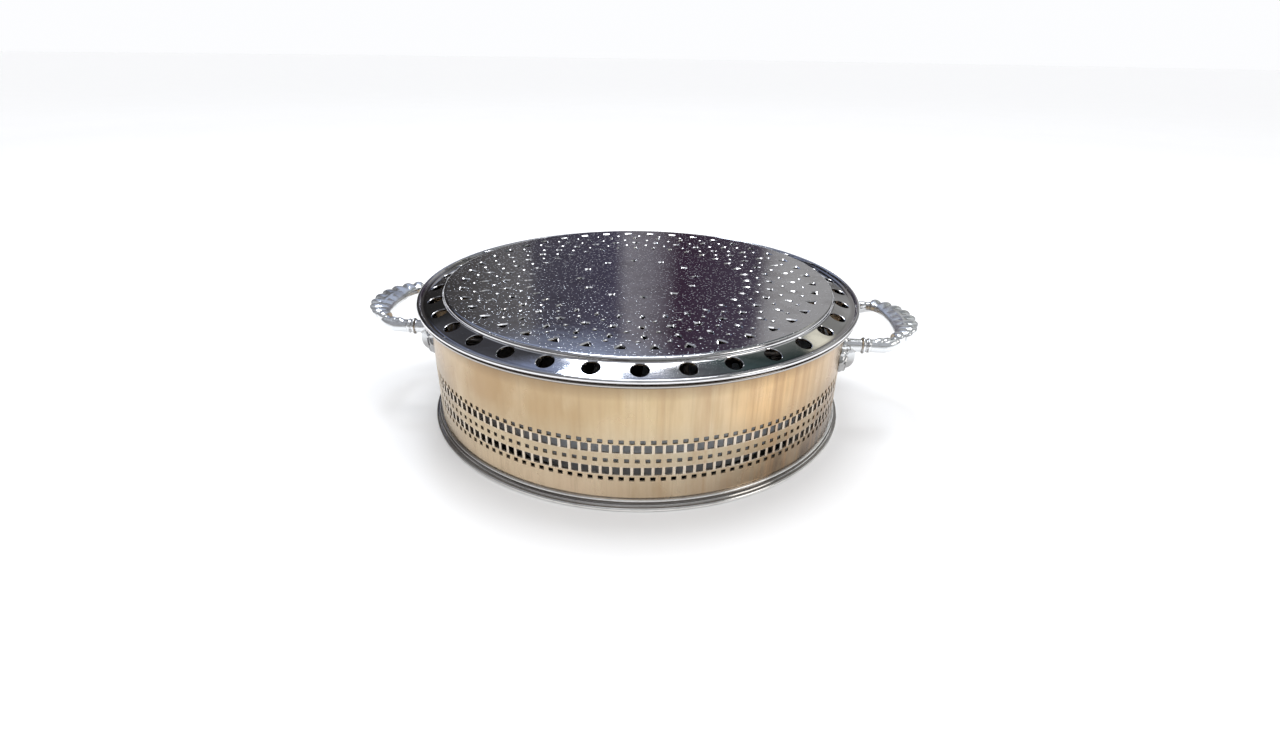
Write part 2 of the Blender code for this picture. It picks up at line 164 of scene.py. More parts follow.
def filleted(corners, segments=4):
    """Round the corners of a path of (radius, height, fillet), where sharp ones have no fillet."""
    path = []
    for i, (x, y, *bend) in enumerate(corners):
        here = Vector((x, y))
        fillet = bend[0] if bend else 0.0
        if fillet <= 0.0 or i in (0, len(corners) - 1):
            path.append((x, y))
            continue
        before = (Vector(corners[i - 1][:2]) - here).normalized()
        after = (Vector(corners[i + 1][:2]) - here).normalized()
        start = here + before * fillet
        end = here + after * fillet
        for k in range(segments + 1):
            t = k / segments
            point = start.lerp(here, t).lerp(here.lerp(end, t), t)
            path.append((point.x, point.y))
    return path


def bridge(bm, first, second, closed=True):
    """Join two rows of vertices with a band of quads."""
    count = len(first)
    for i in range(count if closed else count - 1):
        j = (i + 1) % count
        bm.faces.new((first[i], first[j], second[j], second[i]))


def add_plug(bm, rings):
    """Close a stack of outlines, given from the top down, into a solid plug."""
    for upper, lower in zip(rings, rings[1:]):
        for i in range(len(upper)):
            j = (i + 1) % len(upper)
            bm.faces.new((upper[i], lower[i], lower[j], upper[j]))
    bm.faces.new(rings[0])
    bm.faces.new(rings[-1][::-1])


def add_cylinder(bm, radius, depth, matrix, sides):
    bmesh.ops.create_cone(bm, cap_ends=True, segments=sides, radius1=radius, radius2=radius,
                          depth=depth, matrix=matrix)


def lathe(name, profile, steps, closed=True, turn=0.0):
    """Turn a profile about Z.  An open profile is closed by a flat cap at each end."""
    bm = bmesh.new()
    rings = []
    for step in range(steps):
        angle = turn + tau * step / steps
        c, s = cos(angle), sin(angle)
        rings.append([bm.verts.new((r * c, r * s, z)) for r, z in profile])
    for step in range(steps):
        bridge(bm, rings[step], rings[(step + 1) % steps], closed)
    if not closed:
        bm.faces.new([ring[0] for ring in rings])
        bm.faces.new([ring[-1] for ring in reversed(rings)])
    return new_piece(name, bm)


def shade(obj, degrees=35.0):
    obj.data.shade_smooth()
    obj.data.set_sharp_from_angle(angle=radians(degrees))


def cast_whole(obj, voxel):
    """Melt overlapping solids into one skin."""
    remesh = obj.modifiers.new("Cast", "REMESH")
    remesh.mode = "VOXEL"
    remesh.voxel_size = voxel


def apply_modifiers(obj):
    """Turn the evaluated shape into the object's own mesh."""
    depsgraph = bpy.context.evaluated_depsgraph_get()
    mesh = bpy.data.meshes.new_from_object(obj.evaluated_get(depsgraph))
    obj.modifiers.clear()
    obj.data = mesh


def read_array(items, name, width=1, kind=float):
    """One property of all the items of a mesh, with one row for each item."""
    values = np.empty(len(items) * width, kind)
    items.foreach_get(name, values)
    return values.reshape(-1, width) if width > 1 else values


def lengths(vectors):
    return np.linalg.norm(vectors, axis=1, keepdims=True)


def boolean(obj, cutter, operation="DIFFERENCE"):
    modifier = obj.modifiers.new("Cut", "BOOLEAN")
    modifier.operation = operation
    modifier.solver = "EXACT"
    modifier.use_self = operation == "UNION"
    modifier.object = cutter
    apply_modifiers(obj)
    bpy.data.objects.remove(cutter, do_unlink=True)


def lathe_normals(obj, profile, closed, spread=0.985):
    """Give a turned and pierced piece the smooth normals of its uncut surface."""
    points = np.array(profile)
    heads = points if closed else points[:-1]
    tails = np.roll(points, -1, 0) if closed else points[1:]
    run = tails - heads
    length = lengths(run)
    along = run / length
    flat = np.stack([-along[:, 1], along[:, 0]], 1)
    before = np.roll(flat, 1, 0)
    after = np.roll(flat, -1, 0)
    if not closed:
        before[0] = flat[0]
        after[-1] = flat[-1]

    def soften(other):
        close = (flat * other).sum(1, keepdims=True) > cos(radians(38))
        blend = np.where(close, flat + other, flat)
        return blend / lengths(blend)

    head_normals = soften(before)
    tail_normals = soften(after)
    mesh = obj.data
    coords = read_array(mesh.vertices, "co", 3)
    radius = np.hypot(coords[:, 0], coords[:, 1])
    flat_points = np.stack([radius, coords[:, 2]], 1)
    corner_verts = read_array(mesh.loops, "vertex_index", kind=int)
    sides = read_array(mesh.polygons, "loop_total", kind=int)
    face_normals = np.repeat(read_array(mesh.polygons, "normal", 3), sides, axis=0)
    corner_points = flat_points[corner_verts]
    outward = coords[corner_verts, :2] / np.maximum(radius[corner_verts], 1e-9)[:, None]
    best = np.full(len(corner_verts), 1e9)
    normal = np.zeros((len(corner_verts), 2))
    for k in range(len(heads)):
        t = np.clip(((corner_points - heads[k]) @ along[k]) / length[k, 0], 0, 1)
        off = corner_points - heads[k] - t[:, None] * run[k]
        facing = face_normals[:, 2] * flat[k, 1] + (face_normals[:, :2] * outward).sum(1) * flat[k, 0]
        distance = (off ** 2).sum(1) + np.where(facing > 0.8, 0.0, 1e-6)
        nearer = distance < best
        best = np.where(nearer, distance, best)
        mixed = head_normals[k] * (1 - t[:, None]) + tail_normals[k] * t[:, None]
        normal[nearer] = mixed[nearer]
    full = np.concatenate([outward * normal[:, :1], normal[:, 1:]], 1)
    full /= np.maximum(lengths(full), 1e-9)
    agrees = (full * face_normals).sum(1) > spread
    final = np.where(agrees[:, None], full, face_normals)
    mesh.normals_split_custom_set(final.tolist())


def turned(angle, axis):
    return Matrix.Rotation(angle, 4, axis)


def moved(x, y, z):
    return Matrix.Translation((x, y, z))


def radial(radius, angle, height):
    return turned(angle, "Z") @ moved(radius, 0.0, height)


def add_punch(bm, outline, matrix, flare=0.5 * MM, lip=0.35 * MM, depth=3 * MM):
    """Add a punch that cuts outline and leaves a dished lip round the hole."""
    rings = []
    spread = flare * (lip + GAP) / lip
    for height, grow in ((GAP, spread), (-lip, 0.0), (-depth, 0.0)):
        ring = []
        for x, y in outline:
            size = hypot(x, y)
            scale = (size + grow) / size
            ring.append(bm.verts.new(matrix @ Vector((x * scale, y * scale, height))))
        rings.append(ring)
    add_plug(bm, rings)


# ---- materials

def link(tree, source, target):
    tree.links.new(source, target)


def add_node(tree, kind, **values):
    node = tree.nodes.new(kind)
    for key, value in values.items():
        if key in node.inputs:
            node.inputs[key].default_value = value
        else:
            setattr(node, key, value)
    return node


def scaled_coords(tree, scale):
    coords = add_node(tree, "ShaderNodeTexCoord")
    mapping = add_node(tree, "ShaderNodeMapping", Scale=scale)
    link(tree, coords.outputs["Object"], mapping.inputs["Vector"])
    return mapping.outputs["Vector"]


def noise(tree, scale, detail=3.0, roughness=0.5):
    """Noise of about one cycle per metre times scale."""
    texture = add_node(tree, "ShaderNodeTexNoise", Scale=1.0, Detail=detail,
                       Roughness=roughness)
    link(tree, scaled_coords(tree, scale), texture.inputs["Vector"])
    return texture.outputs["Fac"]


def remap(tree, value, low, high, to_low=0.0, to_high=1.0):
    node = add_node(tree, "ShaderNodeMapRange")
    for key, number in (("From Min", low), ("From Max", high),
                        ("To Min", to_low), ("To Max", to_high)):
        node.inputs[key].default_value = number
    link(tree, value, node.inputs["Value"])
    return node.outputs["Result"]


def ramp_node(tree, value, stops, low, high):
    """Colour ramp over a value that runs from low to high."""
    ramp = add_node(tree, "ShaderNodeValToRGB")
    elements = ramp.color_ramp.elements
    for index, (place_at, colour) in enumerate(stops):
        position = (place_at - low) / (high - low)
        element = elements[index] if index < 2 else elements.new(position)
        element.position = position
        element.color = (*colour, 1.0)
    link(tree, remap(tree, value, low, high), ramp.inputs["Fac"])
    return ramp.outputs["Color"]


def mix_colour(tree, factor, first, second):
    node = add_node(tree, "ShaderNodeMix", data_type="RGBA")
    link(tree, factor, node.inputs[0])
    for socket, value in ((node.inputs[6], first), (node.inputs[7], second)):
        if isinstance(value, tuple):
            socket.default_value = (*value, 1.0)
        else:
            link(tree, value, socket)
    return node.outputs[2]


def add_maths(tree, operation, first, second=0.0):
    node = add_node(tree, "ShaderNodeMath", operation=operation)
    for socket, value in zip(node.inputs, (first, second)):
        if isinstance(value, (int, float)):
            socket.default_value = value
        else:
            link(tree, value, socket)
    return node.outputs["Value"]


def chain_bump(tree, heights):
    """Stack bumps given as (height, strength, distance) and return the normal."""
    normal = None
    for height, strength, distance in heights:
        bump = add_node(tree, "ShaderNodeBump", Strength=strength, Distance=distance)
        link(tree, height, bump.inputs["Height"])
        if normal is not None:
            link(tree, normal, bump.inputs["Normal"])
        normal = bump.outputs["Normal"]
    return normal


def start_material(name, metallic):
    material = bpy.data.materials.new(name)
    material.use_nodes = True
    tree = material.node_tree
    shader = tree.nodes["Principled BSDF"]
    shader.inputs["Metallic"].default_value = metallic
    return material, tree, shader


def axis_value(tree, axis):
    """One coordinate of the point, in metres in the row frame."""
    coords = add_node(tree, "ShaderNodeTexCoord")
    split = add_node(tree, "ShaderNodeSeparateXYZ")
    link(tree, coords.outputs["Object"], split.inputs["Vector"])
    return split.outputs[axis]


def painted_shade_by_height(tree, stops):
    """Painted shade in the grooves and under the beads of a turned piece, as stops of (height,
    amount).
    """
    grey = tuple((z, (amount, amount, amount)) for z, amount in stops)
    return ramp_node(tree, axis_value(tree, "Z"), grey, stops[0][0], stops[-1][0])


def tarnish_and_shade_in_hollows(tree):
    """Tarnish with painted shade in the hollows of a casting, and painted shade under the arms."""
    shape = add_node(tree, "ShaderNodeNewGeometry")
    hollow = remap(tree, shape.outputs["Pointiness"], 0.497, 0.462)
    below = remap(tree, axis_value(tree, "Z"), 0.058, 0.05, 0.0, 0.62)
    return add_maths(tree, "MAXIMUM", hollow, below)


def plated(name, clean, tarnish, roughness, wave=0.0, tarnish_amount=0.35, pits=0.12,
           shade_and_tarnish=None, dings=0.0, metallic=1.0):
    """Polished plate: cloudy tarnish, any painted shade that is given, wiping marks, hairline
    scratches and a soft ripple.
    """
    material, tree, shader = start_material(name, metallic)
    cloud = noise(tree, (38, 38, 38), 5.0, 0.6)
    fleck = noise(tree, (420, 420, 420), 4.0, 0.65)
    stain = remap(tree, cloud, 0.52, 0.72, 0.0, tarnish_amount)
    speck = remap(tree, fleck, 0.62, 0.72, 0.0, 0.5 * tarnish_amount)
    amount = add_maths(tree, "MAXIMUM", stain, speck)
    # Painted shade, with real tarnish in the casting's hollows, darkens towards the tarnish colour.
    if shade_and_tarnish:
        amount = add_maths(tree, "MAXIMUM", amount, shade_and_tarnish(tree))
    link(tree, mix_colour(tree, amount, clean, tarnish), shader.inputs["Base Color"])
    wipe = noise(tree, (22, 160, 22), 3.0, 0.55)
    hair_one = noise(tree, (60, 2600, 300), 2.0, 0.6)
    hair_two = noise(tree, (2400, 90, 300), 2.0, 0.6)
    hairs = add_maths(tree, "MAXIMUM", hair_one, hair_two)
    dull = remap(tree, wipe, 0.35, 0.75, *roughness)
    scuff = remap(tree, hairs, 0.66, 0.8, 0.0, 0.1)
    link(tree, add_maths(tree, "ADD", dull, scuff), shader.inputs["Roughness"])
    dents = noise(tree, (240, 240, 240), 3.0, 0.5)
    bumps = [(hairs, 0.08, 0.0001), (dents, pits, 0.0002)]
    if wave:
        bumps.append((noise(tree, (16, 16, 16), 2.0, 0.5), wave, 0.004))
    if dings:
        ding = remap(tree, noise(tree, (620, 900, 900), 0.0, 0.5), 0.72, 0.8)
        on_top = remap(tree, axis_value(tree, "Z"), 0.0883, 0.0887)
        bumps.append((add_maths(tree, "MULTIPLY", ding, on_top), dings, 0.0005))
    link(tree, chain_bump(tree, bumps), shader.inputs["Normal"])
    return material


def wall_plate():
    """Plate whose colour is a painted reflection of a warm tan tabletop: clouded at the front,
    streaked with the table's grain at the right.
    """
    material, tree, shader = start_material("wall_plate_painted_reflection", 1.0)
    across = add_maths(tree, "DIVIDE", axis_value(tree, "X"), WALL_RADIUS)
    height = axis_value(tree, "Z")
    (_, base), *upper = [(z, ramp_node(tree, across, stops, -1.0, 1.0)) for z, stops in WALL_REFLECTION_AND_SHADE]
    below = WALL_REFLECTION_AND_SHADE[0][0]
    for z, tone in upper:
        base = mix_colour(tree, remap(tree, height, below, z), base, tone)
        below = z
    rows = ramp_node(tree, height, bar_glint_stops(), WALL_LOW.z, WALL_HIGH.z)
    # Painted glint: the bars between the windows are mixed halfway to a pale cream.
    bars = mix_colour(tree, add_maths(tree, "MULTIPLY", rows, 0.5), base, (0.88, 0.82, 0.74))
    # Painted reflection of the tabletop: pale clouds, brown slants, and the table's grain as streaks
    # and fine lines.
    cloud = noise(tree, (34, 34, 20), 4.0, 0.55)
    slant = noise(tree, (90, 90, 26), 5.0, 0.6)
    streak = noise(tree, (190, 190, 5), 5.0, 0.62)
    fine = noise(tree, (620, 620, 14), 3.0, 0.6)
    pale = mix_colour(tree, remap(tree, cloud, 0.45, 0.7, 0.0, 0.4), bars, (0.74, 0.62, 0.44))
    brown = mix_colour(tree, remap(tree, slant, 0.5, 0.66, 0.0, 0.26), pale, (0.4, 0.27, 0.14))
    strength = remap(tree, across, 0.0, 0.55, 0.12, 0.62)
    lines = remap(tree, streak, 0.48, 0.66)
    reflected_grain = mix_colour(tree, add_maths(tree, "MULTIPLY", lines, strength), brown,
                       (0.42, 0.26, 0.14))
    lined = mix_colour(tree, remap(tree, fine, 0.52, 0.7, 0.0, 0.24), reflected_grain,
                       (0.38, 0.27, 0.17))
    rim_shade = remap(tree, height, 0.068, 0.077, 0.0, 0.6)
    shaded = mix_colour(tree, rim_shade, lined, (0.16, 0.11, 0.07))
    link(tree, shaded, shader.inputs["Base Color"])
    link(tree, remap(tree, cloud, 0.3, 0.7, 0.2, 0.32), shader.inputs["Roughness"])
    dents = noise(tree, (200, 200, 200), 3.0, 0.5)
    link(tree, chain_bump(tree, [(fine, 0.06, 0.0002), (dents, 0.06, 0.0002)]),
         shader.inputs["Normal"])
    return material


def bar_glint_stops():
    """White in the two rows of windows, whose bars get a painted glint, and black elsewhere."""
    black, white, fade = (0.0, 0.0, 0.0), (1.0, 1.0, 1.0), 0.5 * MM
    stops = [(WALL_LOW.z, black)]
    for low, high in (LOW_WINDOWS, HIGH_WINDOWS):
        stops += [(low - fade, black), (low, white), (high, white), (high + fade, black)]
    return stops


def worn_steel(name, clean, stained, roughness, metallic=1.0, amount=0.6, side_shade=None):
    """Spun or drawn steel with heat stains, and painted shade on one side."""
    material, tree, shader = start_material(name, metallic)
    cloud = noise(tree, (30, 30, 30), 6.0, 0.62)
    fine = noise(tree, (500, 500, 500), 4.0, 0.6)
    stain = remap(tree, cloud, 0.42, 0.68, 0.0, amount)
    speck = remap(tree, fine, 0.55, 0.72, 0.0, 0.4)
    tone = mix_colour(tree, add_maths(tree, "MAXIMUM", stain, speck), clean, stained)
    if side_shade:
        # Painted shade: one side of the piece darkened to a dark brown.
        tone = mix_colour(tree, side_shade(tree), tone, (0.16, 0.12, 0.09))
    link(tree, tone, shader.inputs["Base Color"])
    link(tree, remap(tree, cloud, 0.3, 0.7, *roughness), shader.inputs["Roughness"])
    link(tree, chain_bump(tree, [(fine, 0.25, 0.0002), (cloud, 0.15, 0.0006)]),
         shader.inputs["Normal"])
    return material


def bowl_painted_shade(tree):
    """Painted shade on the bowl's left side."""
    return remap(tree, axis_value(tree, "X"), -0.1, -0.02, 0.75, 0.0)


def lid_painted_shade(tree):
    # Painted shade under the lid's rolled bead.
    return painted_shade_by_height(tree, ((LID_LOW.z, 0.95), (82.3 * MM, 0.7), (82.9 * MM, 0.05),
                                  (LID_HIGH.z, 0.0)))


def rim_painted_shade(tree):
    # Painted shade under the rim and at its top, where the lid sits.
    return painted_shade_by_height(tree, ((RIM_LOW.z, 0.95), (79.3 * MM, 0.8), (79.8 * MM, 0.25),
                                  (80.5 * MM, 0.3), (80.8 * MM, 0.95), (RIM_HIGH.z, 1.0)))


def foot_painted_shade(tree):
    # Painted shade along the foot's bottom edge, in its groove and in its cove.
    bands = painted_shade_by_height(tree, ((0.0, 0.95), (0.3 * MM, 0.5), (0.5 * MM, 0.0), (2.1 * MM, 0.0),
                                   (2.3 * MM, 0.7), (2.6 * MM, 0.0), (3 * MM, 0.1),
                                   (3.2 * MM, 0.9), (4.7 * MM, 0.75), (4.9 * MM, 0.0),
                                   (FOOT_HIGH.z, 0.0)))
    # Painted shade on the foot's left side.
    left = remap(tree, axis_value(tree, "X"), -0.115, -0.05, 0.82, 0.0)
    return add_maths(tree, "MAXIMUM", bands, left)


def make_finishes():
    """Material slot and material of each kind of piece."""
    # Dark brown for tarnish, and for the painted shade on the rim and foot.
    brown = (0.1, 0.075, 0.055)
    materials = {
        "lid": plated("lid_silver", (0.86, 0.86, 0.88), (0.3, 0.27, 0.26), (0.05, 0.13), wave=0.05,
                      shade_and_tarnish=lid_painted_shade, dings=0.3),
        "rim": plated("rim_silver", (0.62, 0.6, 0.58), brown, (0.1, 0.2), shade_and_tarnish=rim_painted_shade),
        "foot": plated("foot_silver", (0.96, 0.95, 0.93), brown, (0.1, 0.2), shade_and_tarnish=foot_painted_shade,
                       metallic=0.85),
        "trim": plated("trim_silver", (0.84, 0.83, 0.81), (0.36, 0.3, 0.24), (0.08, 0.18)),
        "cast": plated("cast_silver", (0.84, 0.86, 0.88), (0.1, 0.08, 0.06), (0.14, 0.28),
                       tarnish_amount=0.6, pits=0.3, shade_and_tarnish=tarnish_and_shade_in_hollows, metallic=0.85),
        "wall": wall_plate(),
        "bowl": worn_steel("bowl_steel", (0.78, 0.82, 0.88), (0.52, 0.52, 0.52), (0.3, 0.5),
                           metallic=0.2, side_shade=bowl_painted_shade),
        "steel": worn_steel("plain_steel", (0.62, 0.62, 0.62), (0.34, 0.32, 0.3), (0.3, 0.5)),
        "iron": worn_steel("grate_iron", (0.07, 0.068, 0.066), (0.16, 0.1, 0.07), (0.55, 0.8),
                           metallic=0.6, amount=0.5),
        "wire": worn_steel("grid_wire", (0.5, 0.48, 0.46), (0.2, 0.16, 0.13), (0.25, 0.45)),
        "brass": worn_steel("screw_brass", (0.66, 0.5, 0.26), (0.3, 0.2, 0.1), (0.3, 0.5)),
    }
    slots = {"wall": "wall_plate", "cast": "cast_silver", "bowl": "bowl_steel", "steel": "steel",
             "iron": "grate_iron", "wire": "grid_wire", "brass": "screw_brass"}
    return {kind: (slots.get(kind, "silver_plate"), materials[kind]) for kind in materials}


def dress(obj, material):
    obj.data.materials.clear()
    obj.data.materials.append(material)


def place(obj, body, node, finish):
    """Dress a piece, put it on its body and let it stand for its CAD node."""
    slot, material = finish
    dress(obj, material)
    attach(obj, body)
    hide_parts(node)


# ---- drum

def gallery_columns():
    """Angles of the wall's column lines, with the rows of openings each column cuts."""
    pitch = tau / GALLERY_COLUMNS
    half = pitch / 2
    window = WINDOW_HALF / WALL_RADIUS
    square = SQUARE_HALF / WALL_RADIUS
    staggered = half - STAGGERED_HALF / WALL_RADIUS
    offsets = (-half, -window, -staggered, -square, square, staggered, window)
    columns = []
    for number in range(GALLERY_COLUMNS):
        centre = GALLERY_START + number * pitch
        for start, end in zip(offsets, (*offsets[1:], half)):
            middle = abs(start + end) / 2
            open_rows = set()
            if middle < window:
                open_rows.update((LOW_WINDOWS, HIGH_WINDOWS))
            if middle < square:
                open_rows.add(MIDDLE_SQUARES)
            if middle > staggered:
                open_rows.update((LOW_SQUARES, HIGH_SQUARES))
            columns.append((centre + start, open_rows))
    return columns


def make_wall():
    rows = (LOW_SQUARES, LOW_WINDOWS, MIDDLE_SQUARES, HIGH_WINDOWS, HIGH_SQUARES)
    heights = sorted({z for row in rows for z in row} | {WALL_LOW.z, WALL_HIGH.z,
                                                        12 * MM, 55 * MM, 67 * MM})
    columns = gallery_columns()
    bm = bmesh.new()
    lines = []
    for angle, _ in columns:
        x, y = WALL_RADIUS * cos(angle), WALL_RADIUS * sin(angle)
        lines.append([bm.verts.new((x, y, z)) for z in heights])
    for number, (_, open_rows) in enumerate(columns):
        a, b = lines[number], lines[(number + 1) % len(lines)]
        for i, (low, high) in enumerate(zip(heights, heights[1:])):
            if (low, high) not in open_rows:
                bm.faces.new((a[i], b[i], b[i + 1], a[i + 1]))
    wall = new_piece("wall_pierced", bm)
    solid = wall.modifiers.new("Sheet", "SOLIDIFY")
    solid.thickness = SHEET
    solid.offset = -1.0
    edge = wall.modifiers.new("Edges", "BEVEL")
    edge.width = 0.16 * MM
    edge.segments = 1
    edge.limit_method = "ANGLE"
    edge.angle_limit = radians(60)
    apply_modifiers(wall)
    shade(wall, 30)
    return wall


def make_rim():
    top, low = RIM_HIGH.z, RIM_LOW.z
    throat = 138.8 * MM
    bend = (top - low) / 2
    profile = [(throat, top), (144 * MM, top)] \
        + arc(RIM_RADIUS - bend, (top + low) / 2, bend, 90, -90, 14) \
        + [(142 * MM, low), (141 * MM, low + 0.2 * MM),
           (throat + 0.6 * MM, low + 1.2 * MM), (throat, low + 1.5 * MM)]
    rim = lathe("rim_bead", profile, 288)
    lathe_normals(rim, profile, True)
    return rim


def make_foot():
    """Foot ring: a fine top bead, a dark cove and a stout bottom bead."""
    top = FOOT_HIGH.z
    low_bead = 1.15 * MM
    profile = [(141 * MM, top)] \
        + arc(143.35 * MM, top - 0.75 * MM, 0.75 * MM, 90, -70, 9) \
        + filleted([(143 * MM, 4.3 * MM), (142.7 * MM, 3.6 * MM, 0.3 * MM),
                    (143.4 * MM, 3.05 * MM)], 3) \
        + arc(144.1 * MM, 2.75 * MM, 0.42 * MM, 110, -30, 6) \
        + [(144.7 * MM, 2.25 * MM)] \
        + arc(FOOT_RADIUS - low_bead, low_bead, low_bead, 90, -90, 12) \
        + [(138.6 * MM, 0.0), (138.6 * MM, 2.6 * MM), (141 * MM, 2.6 * MM)]
    foot = lathe("foot_beaded", profile, 288)
    lathe_normals(foot, profile, True)
    return foot


# ---- lid

def dot(size, sides=DOT_SIDES):
    return [(size * cos(tau * i / sides), size * sin(tau * i / sides)) for i in range(sides)]


def star(size, points=5):
    outline = []
    for i in range(2 * points):
        reach = size if i % 2 == 0 else 0.48 * size
        angle = pi * i / points
        outline.append((reach * cos(angle), reach * sin(angle)))
    return outline


def petal(size):
    """A pointed drop that lies along the radius."""
    outline = []
    for i in range(16):
        angle = tau * i / 16
        outline.append((1.25 * size * cos(angle),
                        0.72 * size * sin(angle) * sin((angle % tau) / 2 + 0.6)))
    return outline


def bell(size):
    """A three-sided hole with its point inwards."""
    corners = ((-1.2, 0.0), (0.75, -1.05), (0.75, 1.05))
    outline = []
    for (x, y), (next_x, next_y) in zip(corners, corners[1:] + corners[:1]):
        outline += [(size * (x + (next_x - x) * t), size * (y + (next_y - y) * t))
                    for t in (0.12, 0.5, 0.88)]
    return outline


def lid_rings():
    """Rings of piercings in the flat top: radius, count, turn in pitches, outline."""
    return ((40.5 * MM, 12, 0.15, star(2.3 * MM, 4)),
            (76 * MM, 34, 0.1, petal(2 * MM)),
            (83.5 * MM, 34, 0.6, dot(1 * MM)),
            (91.5 * MM, 34, 0.1, star(2.6 * MM)),
            (99 * MM, 34, 0.6, dot(1.1 * MM)),
            (106 * MM, 34, 0.1, petal(2.3 * MM)),
            (112.5 * MM, 40, 0.95, dot(1 * MM)),
            (119.5 * MM, 40, 0.45, bell(2.9 * MM)))


def shoulder_height(radius):
    return LID_HIGH.z - 2.9 * MM - (radius - LID_FLAT_RADIUS) * tan(SHOULDER_SLOPE)


def make_lid():
    top, seat = LID_HIGH.z, LID_LOW.z
    cap = 130 * MM
    toe = 145.2 * MM
    bead = 1.42 * MM
    bead_middle = LID_RADIUS - bead
    outer = filleted([(cap, top), (LID_FLAT_RADIUS - 0.3 * MM, top, 1.6 * MM),
                      (LID_FLAT_RADIUS + 0.3 * MM, shoulder_height(LID_FLAT_RADIUS), 0.9 * MM),
                      (toe, shoulder_height(toe), 0.9 * MM),
                      (146.9 * MM, shoulder_height(toe) + 0.25 * MM)], 5)
    rolled = arc(bead_middle, top - 4.5 * MM - bead, bead, 150, -90, 16)
    inner = filleted([(146 * MM, seat), (144.2 * MM, seat),
                      (131.4 * MM, top - 3.9 * MM), (cap, top - SHEET)], 3)
    profile = outer + rolled + inner
    lid = lathe("lid_pierced", profile, LID_STEPS, closed=False,
                turn=VENT_START - pi / LID_STEPS)
    bm = bmesh.new()
    tilt = turned(SHOULDER_SLOPE, "Y")
    vent = dot(VENT_RADIUS, 40)
    for number in range(VENT_COUNT):
        angle = VENT_START + number * tau / VENT_COUNT
        matrix = radial(VENT_CIRCLE, angle, shoulder_height(VENT_CIRCLE)) @ tilt
        add_punch(bm, vent, matrix, 0.25 * MM, 0.2 * MM, 4 * MM)
    for radius, count, turn, outline in lid_rings():
        lip = 0.4 * MM if len(outline) == DOT_SIDES else 0.62 * MM
        for number in range(count):
            angle = VENT_START + (number + turn) * tau / count
            add_punch(bm, outline, radial(radius, angle, top), 1.5 * lip, lip)
    boolean(lid, new_piece("lid_punches", bm))
    lathe_normals(lid, profile, False)
    return lid


# ---- handles

def add_egg(bm, size, matrix, across=14, rings=9):
    bmesh.ops.create_uvsphere(bm, u_segments=across, v_segments=rings, radius=1.0,
                              matrix=matrix @ Matrix.Diagonal((*size, 1.0)))


def add_bar(bm, points, radii, sides=14):
    """Sweep a round section of changing radius along points, in plan."""
    rings = []
    for i, point in enumerate(points):
        ahead = Vector(points[min(i + 1, len(points) - 1)])
        behind = Vector(points[max(i - 1, 0)])
        along = (ahead - behind).normalized()
        side = along.cross(Vector((0, 0, 1))).normalized()
        up = side.cross(along)
        ring = []
        for k in range(sides):
            angle = tau * k / sides
            offset = side * cos(angle) + up * sin(angle)
            ring.append(bm.verts.new(Vector(point) + radii[i] * offset))
        rings.append(ring)
    for a, b in zip(rings, rings[1:]):
        bridge(bm, a, b)
    bm.faces.new(rings[0][::-1])
    bm.faces.new(rings[-1])


def bow_point(angle):
    return Vector((BOW_START + (BOW_REACH - BOW_START) * cos(angle),
                   ARM_SPREAD * sin(angle), ARM_HEIGHT + BOW_RISE * cos(angle)))


def bow_path():
    points = [(x * MM, -ARM_SPREAD, ARM_HEIGHT) for x in (140, 146, 152, 158)]
    points += [bow_point(pi * (i / 24 - 0.5)) for i in range(25)]
    points += [(x * MM, ARM_SPREAD, ARM_HEIGHT) for x in (158, 152, 146, 140)]
    return [Vector(p) for p in points]


def shell_section(fan, crown):
    """Closed section of the shell along one line of its fan, from the hole outwards."""
    c, s = cos(fan), sin(fan)
    inner = Vector((BOW_START + SHELL_HOLE[0] * c ** 0.5, SHELL_HOLE[1] * s, 0.0))
    outer = Vector((BOW_START + SHELL_EDGE[0] * c, SHELL_EDGE[1] * s, 0.0))
    outer += (outer - inner).normalized() * 1.8 * MM * crown
    points = []
    for index in range(SHELL_SECTION):
        turn = tau * index / SHELL_SECTION
        across = 0.5 - 0.5 * cos(turn)
        lift = sin(turn)
        thick = 3.4 * MM if lift > 0 else 3 * MM
        ridge = 2.1 * MM * crown * max(0.0, lift) ** 0.5 * across
        height = ARM_HEIGHT + 3 * MM + 1.6 * MM * across * c \
            + copysign(abs(lift) ** 0.62, lift) * thick + ridge
        flat = inner.lerp(outer, across)
        points.append(Vector((flat.x, flat.y, height)))
    return points


def add_shell(bm):
    """Fluted fan on the bow, with a scalloped outer edge."""
    steps = SHELL_FLUTES * 12
    reach = radians(76)
    rings = []
    for step in range(steps + 1):
        share = step / steps
        phase = 2 * ((share * SHELL_FLUTES) % 1.0) - 1 if step < steps else -1.0
        crown = 1 - phase * phase
        section = shell_section(reach * (2 * share - 1), crown)
        rings.append([bm.verts.new(point) for point in section])
    for a, b in zip(rings, rings[1:]):
        bridge(bm, a, b)
    bm.faces.new(rings[0])
    bm.faces.new(rings[-1][::-1])


def add_collars(bm):
    """Leaves where the arms meet the shell, and a bead at the foot of each arm."""
    for side in (-1, 1):
        for step, size in ((0, 5.6), (1, 5.0), (2, 4.2)):
            x = 170 * MM - step * 4.4 * MM
            y = side * (ARM_SPREAD - 1.8 * MM + step * 0.8 * MM)
            matrix = moved(x, y, ARM_HEIGHT + 2.6 * MM) @ turned(radians(-24 * side), "Z") \
                @ turned(radians(-12), "Y")
            add_egg(bm, (size * MM, 3.2 * MM, 2.8 * MM), matrix)
        for x, size in ((151.0, 5.6), (154.4, 5.0)):
            ring = moved(x * MM, side * ARM_SPREAD, ARM_HEIGHT)
            add_egg(bm, (2 * MM, size * MM, size * MM), ring, 20, 12)


